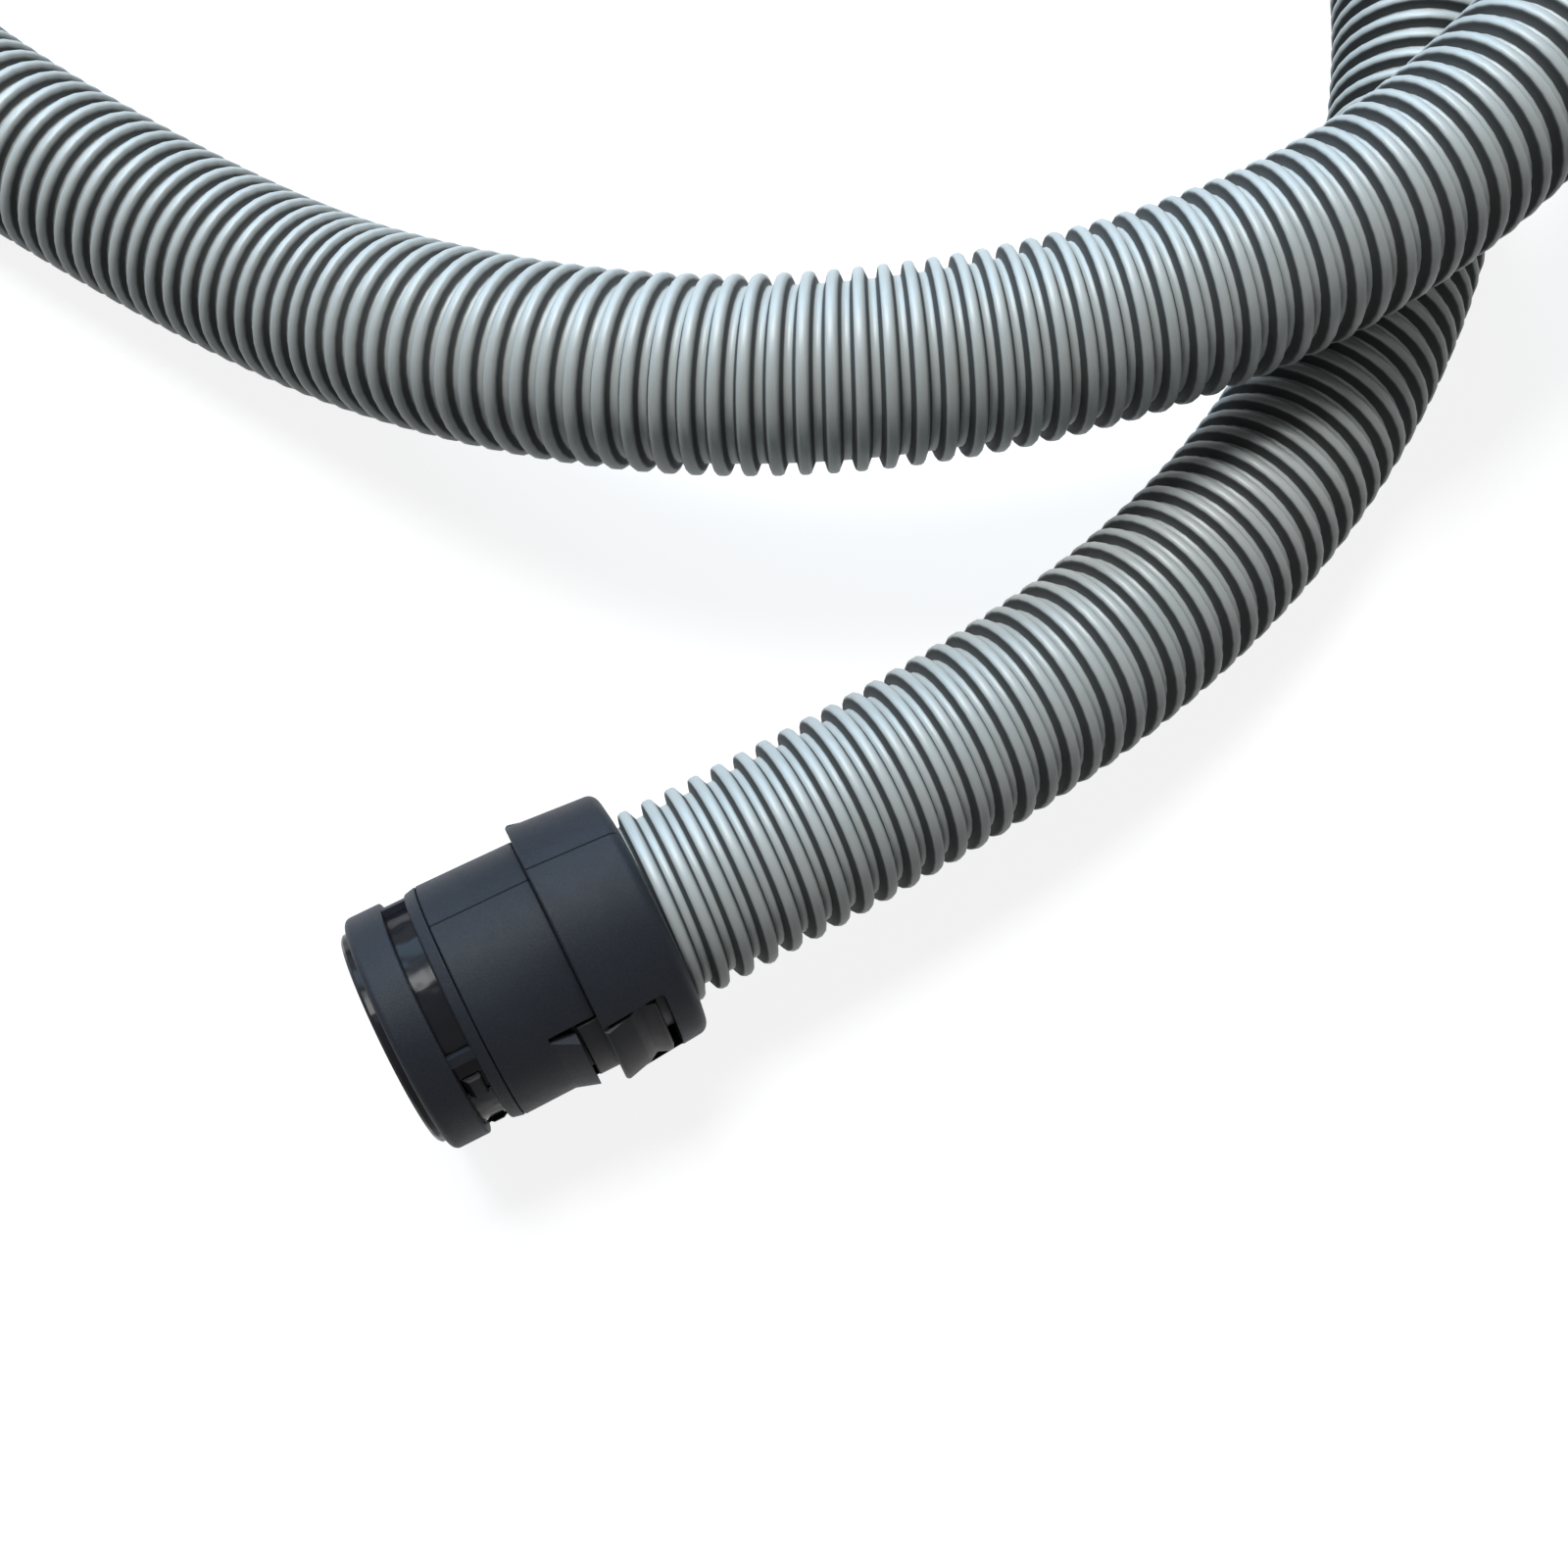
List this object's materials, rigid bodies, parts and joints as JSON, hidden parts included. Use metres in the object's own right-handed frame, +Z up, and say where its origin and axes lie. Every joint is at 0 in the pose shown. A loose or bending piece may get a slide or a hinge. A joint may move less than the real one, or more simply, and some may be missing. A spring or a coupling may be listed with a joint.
{
  "type": "vacuum cleaner hose",
  "caption": "Flexible ribbed suction hose with a latching swivel connector for the cleaner and a swivel cuff for the wand.",
  "frame": {"origin": "centre of the machine connector's mouth, on the connector's axis", "axes": "-X points out of the machine connector's mouth, +X runs into the hose, +Z is up from the floor that the hose lies on, +Y is towards the loop"},
  "size_m": [0.547, 0.6016, 0.0882],
  "materials": {
    "hose": "satin, ribbed",
    "connector_black": "fine-grained",
    "glossy_sleeve": "polished",
    "nut_plastic": "satin",
    "cuff_black": "fine-grained",
    "soft_rubber": "matt",
    "spring_steel": "bright drawn"
  },
  "bodies": {
    "hose": {"hose_first_run": "hose", "hose_loop": "hose", "hose_last_run": "hose", "machine_hose_nut": "nut_plastic", "wand_hose_nut": "nut_plastic"},
    "machine_connector": {"spigot_cage": "connector_black", "inner_sleeve": "glossy_sleeve", "near_casing": "connector_black", "far_casing": "connector_black", "near_latch_spring": "spring_steel", "far_latch_spring": "spring_steel", "machine_seal_ring": "soft_rubber", "machine_slip_ring": "nut_plastic"},
    "near_latch": {"near_latch_lever": "connector_black"},
    "far_latch": {"far_latch_lever": "connector_black"},
    "wand_cuff": {"wand_cuff_body": "cuff_black", "wand_cuff_grip": "soft_rubber", "wand_cuff_cap": "cuff_black", "wand_seal_ring": "soft_rubber", "wand_slip_ring": "nut_plastic"}
  },
  "joints": [
    {"name": "machine_swivel", "type": "hinge", "parent": "hose", "child": "machine_connector", "pos_m": [0.05, 0, 0], "axis": [1, 0, 0], "continuous": true},
    {"name": "near_latch_press", "type": "hinge", "parent": "machine_connector", "child": "near_latch", "pos_m": [0.02745, -0.01906, 0.00391], "axis": [0, 0.2011, 0.9796], "range_deg": [0, 6], "stiffness_Nm_per_rad": 0.8, "springref_deg": -5.73, "deforming": ["near_latch_spring"]},
    {"name": "far_latch_press", "type": "hinge", "parent": "machine_connector", "child": "far_latch", "pos_m": [0.02745, 0.01906, -0.00391], "axis": [0, -0.2011, -0.9796], "range_deg": [0, 6], "stiffness_Nm_per_rad": 0.8, "springref_deg": -5.73, "deforming": ["far_latch_spring"]},
    {"name": "wand_swivel", "type": "hinge", "parent": "hose", "child": "wand_cuff", "pos_m": [0.475, 0.304, -0.002], "axis": [0.0894, 0.996, 0], "continuous": true}
  ]
}
